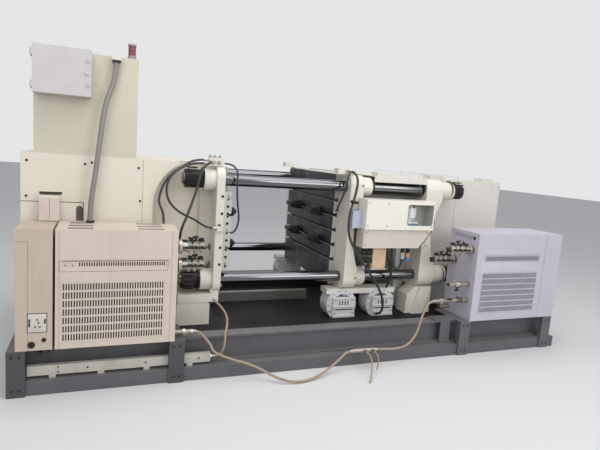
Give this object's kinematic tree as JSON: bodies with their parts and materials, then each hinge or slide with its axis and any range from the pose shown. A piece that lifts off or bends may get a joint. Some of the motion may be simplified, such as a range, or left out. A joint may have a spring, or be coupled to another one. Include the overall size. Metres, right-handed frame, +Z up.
{
  "type": "horizontal four-bar die spotting press",
  "caption": "Horizontal press for spotting dies: slotted platens on round tie bars, a tower with a control box, and temperature-control cabinets, all on a steel skid.",
  "frame": {"origin": "middle of the footprint, on the floor", "axes": "+X from the tower end to the ram end, -Y to the operator side, +Z up"},
  "size_m": [4.5, 2.3959, 2.287],
  "materials": {
    "cream": "semi-gloss cream machine enamel",
    "grey_steel": "grey enamel on rolled steel",
    "dark_bed": "dark grey enamel, oiled",
    "chrome": "hard chromed and ground",
    "black_steel": "blackened steel",
    "die_face": "ground steel, dark with oil",
    "light_grey": "light grey powder coat",
    "beige": "textured beige powder coat",
    "pale_lavender": "textured pale grey-blue powder coat",
    "red_lens": "translucent red lens",
    "brass": "nickel-dulled cast brass",
    "black_rubber": "smooth black hose",
    "grey_conduit": "matt grey conduit",
    "tan_rubber": "tan braided water hose"
  },
  "bodies": {
    "frame": {"bar_nuts": "black_steel", "beacon_ends": "cream", "beacon_lens": "red_lens", "bed_strip": "cream", "bed_tan_hose": "tan_rubber", "cable_rail": "cream", "clamp_cable": "black_rubber", "control_box": "light_grey", "cylinder_cover": "cream", "drive_housing": "cream", "front_tan_hose": "tan_rubber", "hose_coupling": "brass", "hose_glands": "cream", "housing_neck": "cream", "left_unit_cabinet": "beige", "left_unit_module": "beige", "left_unit_posts": "grey_steel", "lever_box": "beige", "long_drain_tail": "tan_rubber", "lower_black_hose": "black_rubber", "machine_bed": "dark_bed", "manifolds": "brass", "ram_guard": "cream", "rear_platen": "cream", "rear_platen_feet": "cream", "right_tan_hose": "tan_rubber", "right_unit_cabinet": "pale_lavender", "right_unit_posts": "grey_steel", "short_drain_tail": "tan_rubber", "skid_beams": "grey_steel", "skid_channels": "grey_steel", "skid_cross_beams": "grey_steel", "stationary_clamps": "black_steel", "stationary_platen": "cream", "stationary_platen_feet": "cream", "stationary_slot_plate": "die_face", "tie_bars": "chrome", "tower": "cream", "tower_conduit": "grey_conduit", "unit_fittings": "brass", "unit_knobs": "black_steel", "upper_black_hose": "black_rubber", "valve_levers": "black_steel"},
    "moving_platen_group": {"moving_platen": "cream", "moving_slot_plate": "die_face", "ram": "chrome", "platen_brackets": "cream", "platen_carriage": "cream", "platen_shoes": "cream", "oil_box_bracket": "cream", "oil_box": "cream", "oil_pump": "light_grey", "valve_box": "cream", "valve_plate": "brass", "block_fittings": "black_steel", "moving_clamps": "black_steel", "carriage_hose": "black_rubber", "oil_line": "black_rubber"},
    "control_door": {"control_box_door": "light_grey"}
  },
  "joints": [
    {"name": "platen_slide", "type": "slide", "parent": "frame", "child": "moving_platen_group", "axis": [1, 0, 0], "range_m": [-0.5, 0]},
    {"name": "control_door_hinge", "type": "hinge", "parent": "frame", "child": "control_door", "pos_m": [-2.141, -0.787, 2.02], "axis": [0, 0, -1], "range_deg": [0, 110]}
  ]
}
